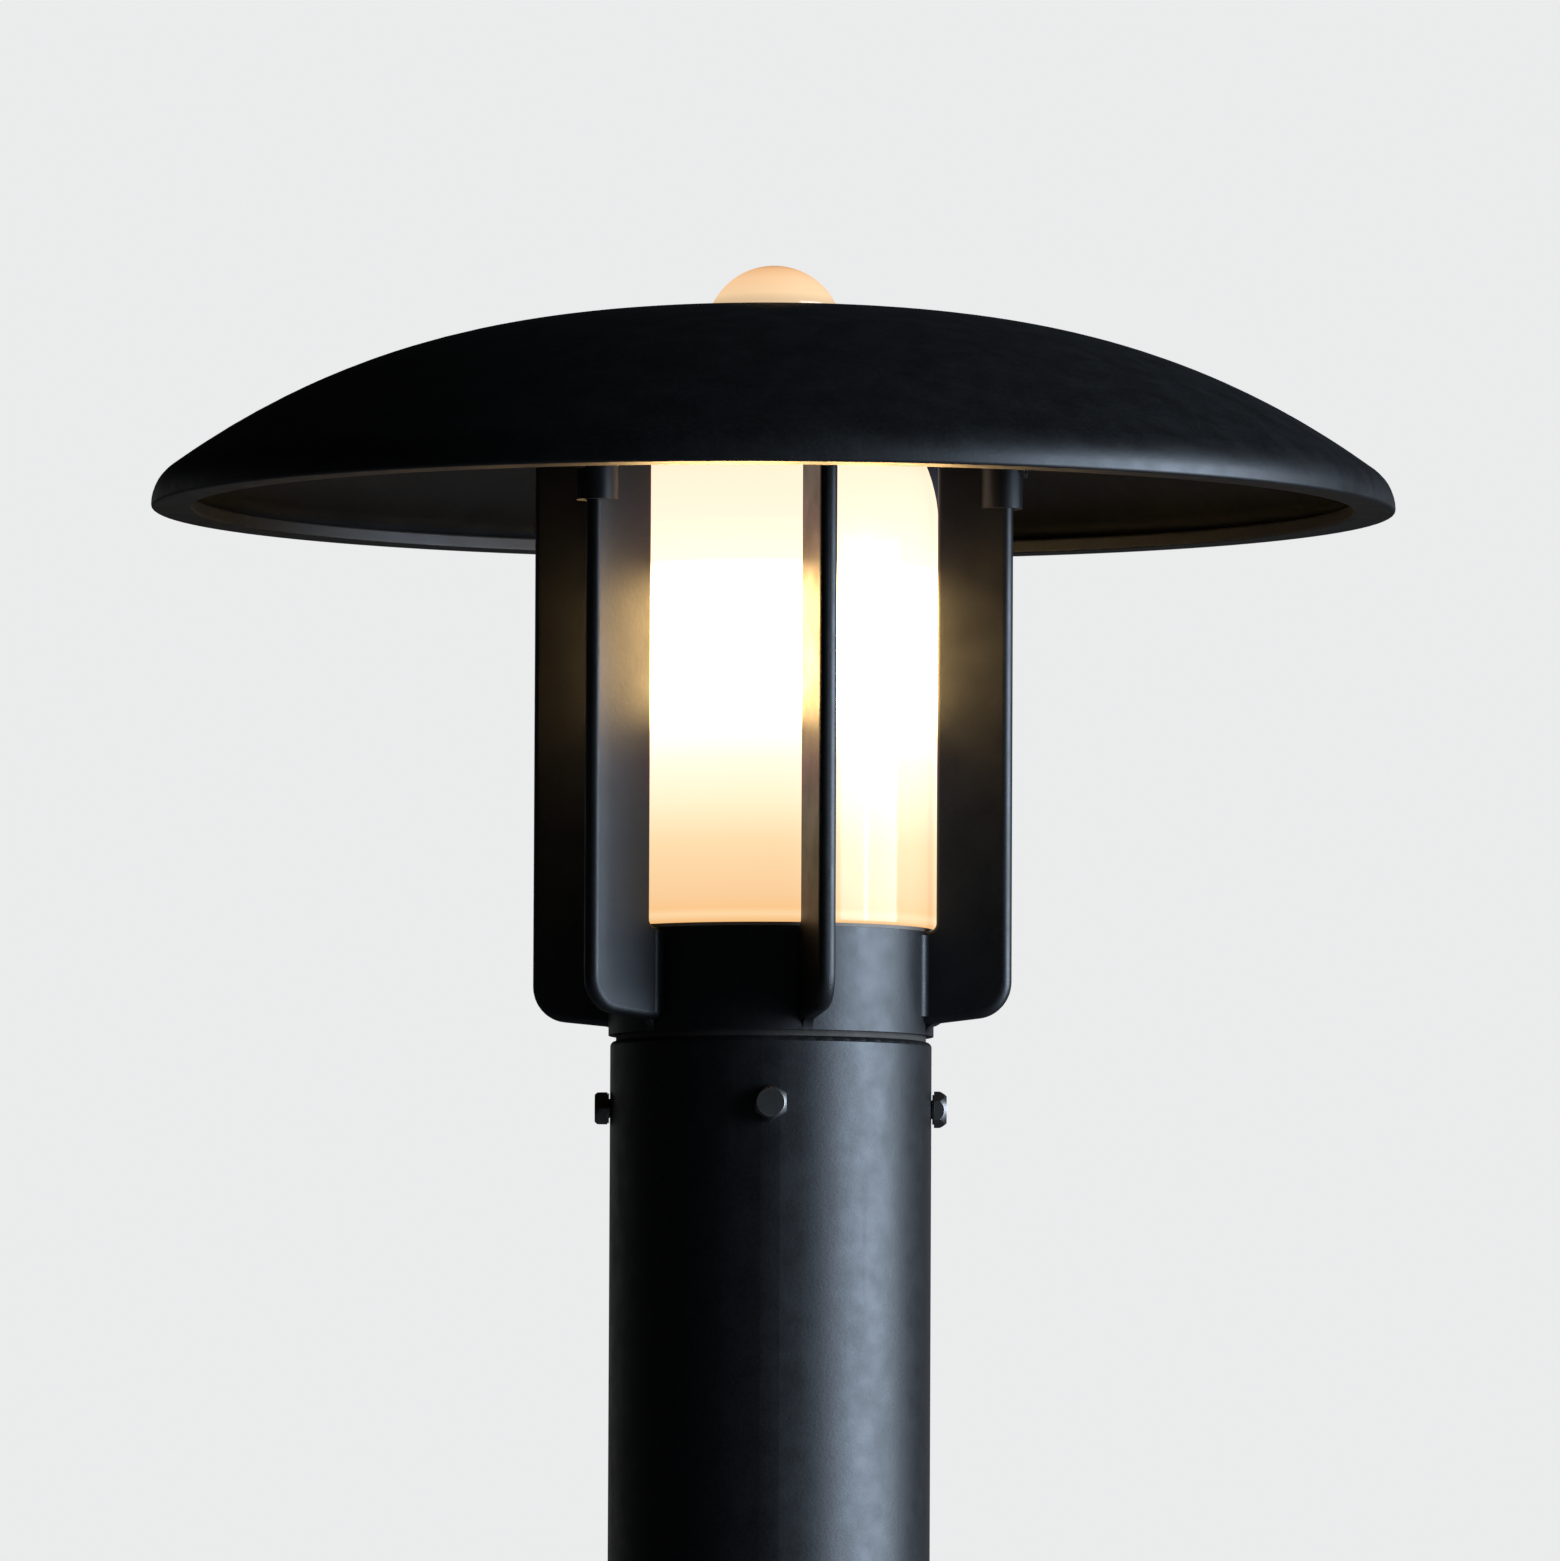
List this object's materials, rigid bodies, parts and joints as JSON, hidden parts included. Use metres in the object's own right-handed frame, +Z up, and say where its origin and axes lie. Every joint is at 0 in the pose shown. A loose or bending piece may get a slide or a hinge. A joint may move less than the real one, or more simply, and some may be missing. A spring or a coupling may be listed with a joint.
{
  "type": "lamp post",
  "caption": "Garden lamp post: round post on a flange with access door, lamp head with radial fins round a lit opal glass, under a wide domed roof.",
  "frame": {"origin": "on the ground under the middle of the post", "axes": "+Z up along the post, -Y the front with the access door"},
  "size_m": [0.394, 0.394, 1.9964],
  "materials": {
    "post_steel": "near-black satin powder coat with a fine grain",
    "cast_aluminium": "near-black satin powder coat over cast aluminium",
    "dark_screw": "blackened steel, worn bright on the edges",
    "bright_steel": "plain stainless steel",
    "zinc_steel": "zinc plated steel",
    "seal_rubber": "black rubber",
    "gasket_silicone": "dark grey silicone",
    "box_plastic": "grey moulded plastic",
    "lid_plastic": "light grey moulded plastic",
    "black_plastic": "black bakelite",
    "white_plastic": "white moulded plastic",
    "porcelain": "glazed porcelain",
    "brass": "plain brass",
    "nickel": "nickel plated",
    "white_plate": "white painted steel",
    "bulb_glass": "frosted, lit",
    "opal_glass": "glossy opal glass, lit from inside",
    "opal_lens": "opal acrylic, lit from below"
  },
  "bodies": {
    "post": {"base_flange": "post_steel", "base_weld": "post_steel", "base_tube": "post_steel", "post_tube": "post_steel", "box_rail": "zinc_steel", "fuse_box": "box_plastic", "box_glands": "box_plastic", "fuse_base": "porcelain", "fuse_link": "porcelain", "terminal_block": "white_plastic", "terminal_screws": "bright_steel", "earth_stud": "bright_steel", "earth_nuts": "bright_steel"},
    "base_cover": {"base_cover": "post_steel"},
    "door": {"door_panel": "post_steel", "door_seal": "seal_rubber", "door_screws": "bright_steel"},
    "box_lid": {"box_lid": "lid_plastic"},
    "fuse_cap": {"fuse_cap": "black_plastic"},
    "head": {"neck_seal": "seal_rubber", "head_spigot": "cast_aluminium", "head_casting": "cast_aluminium", "mounting_plate": "white_plate", "plate_screws": "bright_steel", "lampholder_stem": "zinc_steel", "stem_nuts": "zinc_steel", "lampholder_body": "porcelain", "lampholder_shell": "brass", "lampholder_contact": "brass", "head_terminal": "white_plastic", "glass_gasket": "gasket_silicone"},
    "lamp": {"lamp_bulb": "bulb_glass", "lamp_cap": "nickel", "lamp_insulator": "black_plastic", "lamp_button": "brass"},
    "glass": {"opal_glass": "opal_glass"},
    "roof": {"roof": "cast_aluminium", "roof_lens": "opal_lens", "lens_seal": "gasket_silicone", "lens_ring": "cast_aluminium", "lens_screws": "bright_steel", "glass_cushion": "gasket_silicone"},
    "clamp_screw_right": {"clamp_screw_right": "dark_screw"},
    "clamp_screw_back": {"clamp_screw_back": "dark_screw"},
    "clamp_screw_left": {"clamp_screw_left": "dark_screw"},
    "clamp_screw_front": {"clamp_screw_front": "dark_screw"},
    "roof_screw_right": {"roof_screw_right": "dark_screw"},
    "roof_screw_back": {"roof_screw_back": "dark_screw"},
    "roof_screw_left": {"roof_screw_left": "dark_screw"}
  },
  "joints": [
    {"name": "base_cover_lift", "type": "slide", "parent": "post", "child": "base_cover", "axis": [0, 0, 1], "range_m": [0, 0.15]},
    {"name": "door_off", "type": "slide", "parent": "post", "child": "door", "axis": [0, -1, 0], "range_m": [0, 0.08]},
    {"name": "box_lid_off", "type": "slide", "parent": "post", "child": "box_lid", "axis": [0, -1, 0], "range_m": [0, 0.02]},
    {"name": "fuse_cap_turn", "type": "hinge", "parent": "post", "child": "fuse_cap", "pos_m": [0, 0, 0.494], "axis": [0, -1, 0], "range_deg": [0, 90]},
    {"name": "head_lift", "type": "slide", "parent": "post", "child": "head", "axis": [0, 0, 1], "range_m": [0, 0.08]},
    {"name": "lamp_unscrew", "type": "slide", "parent": "head", "child": "lamp", "axis": [0, 0, 1], "range_m": [0, 0.024]},
    {"name": "roof_lift", "type": "slide", "parent": "head", "child": "roof", "axis": [0, 0, 1], "range_m": [0, 0.3]},
    {"name": "glass_lift", "type": "slide", "parent": "head", "child": "glass", "axis": [0, 0, 1], "range_m": [0, 0.18]},
    {"name": "clamp_screw_right_out", "type": "slide", "parent": "post", "child": "clamp_screw_right", "axis": [1, 0, 0], "range_m": [0, 0.005]},
    {"name": "clamp_screw_back_out", "type": "slide", "parent": "post", "child": "clamp_screw_back", "axis": [0, 1, 0], "range_m": [0, 0.005]},
    {"name": "clamp_screw_left_out", "type": "slide", "parent": "post", "child": "clamp_screw_left", "axis": [-1, 0, 0], "range_m": [0, 0.005]},
    {"name": "clamp_screw_front_out", "type": "slide", "parent": "post", "child": "clamp_screw_front", "axis": [0, -1, 0], "range_m": [0, 0.005]},
    {"name": "roof_screw_right_out", "type": "slide", "parent": "roof", "child": "roof_screw_right", "axis": [0.9563, -0.2924, 0], "range_m": [0, 0.003]},
    {"name": "roof_screw_back_out", "type": "slide", "parent": "roof", "child": "roof_screw_back", "axis": [-0.225, 0.9744, 0], "range_m": [0, 0.003]},
    {"name": "roof_screw_left_out", "type": "slide", "parent": "roof", "child": "roof_screw_left", "axis": [-0.7314, -0.682, 0], "range_m": [0, 0.003]}
  ],
  "couplings": [
    {"joint": "glass_lift", "follows": "roof_lift", "ratio": 0.6}
  ]
}
